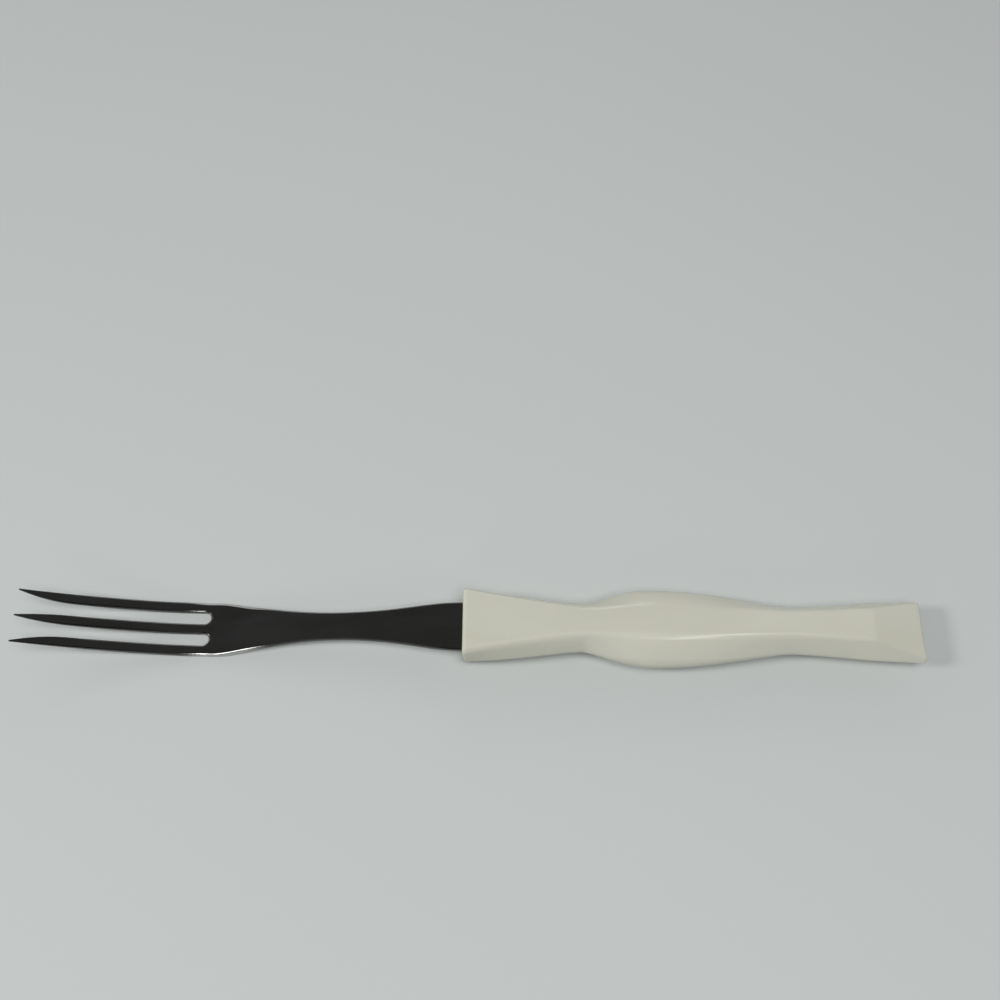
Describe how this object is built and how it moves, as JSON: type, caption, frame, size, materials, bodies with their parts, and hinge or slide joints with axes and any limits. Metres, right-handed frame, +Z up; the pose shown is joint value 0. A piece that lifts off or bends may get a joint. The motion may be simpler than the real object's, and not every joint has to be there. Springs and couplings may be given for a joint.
{
  "type": "meat fork",
  "caption": "Meat fork with pointed upswept tines, a round-slotted crown and an hourglass steel shank set into a moulded ivory handle with wedge ends and a palm swell.",
  "frame": {"origin": "on the table, under the middle of the fork's length and width, where the bottom of its bounding box lies", "axes": "+X from the tine tips to the butt of the handle, +Y across the fork away from the viewer of the picture, +Z up from the table"},
  "size_m": [0.284, 0.0252, 0.0142],
  "materials": {
    "polished_steel": "polished",
    "ivory_plastic": "gloss",
    "pin_steel": "satin"
  },
  "bodies": {
    "root": {"fork_steel": "polished_steel", "handle_upper_half": "ivory_plastic", "handle_lower_half": "ivory_plastic", "tang_pin_front": "pin_steel", "tang_pin_middle": "pin_steel", "tang_pin_rear": "pin_steel"}
  },
  "joints": []
}
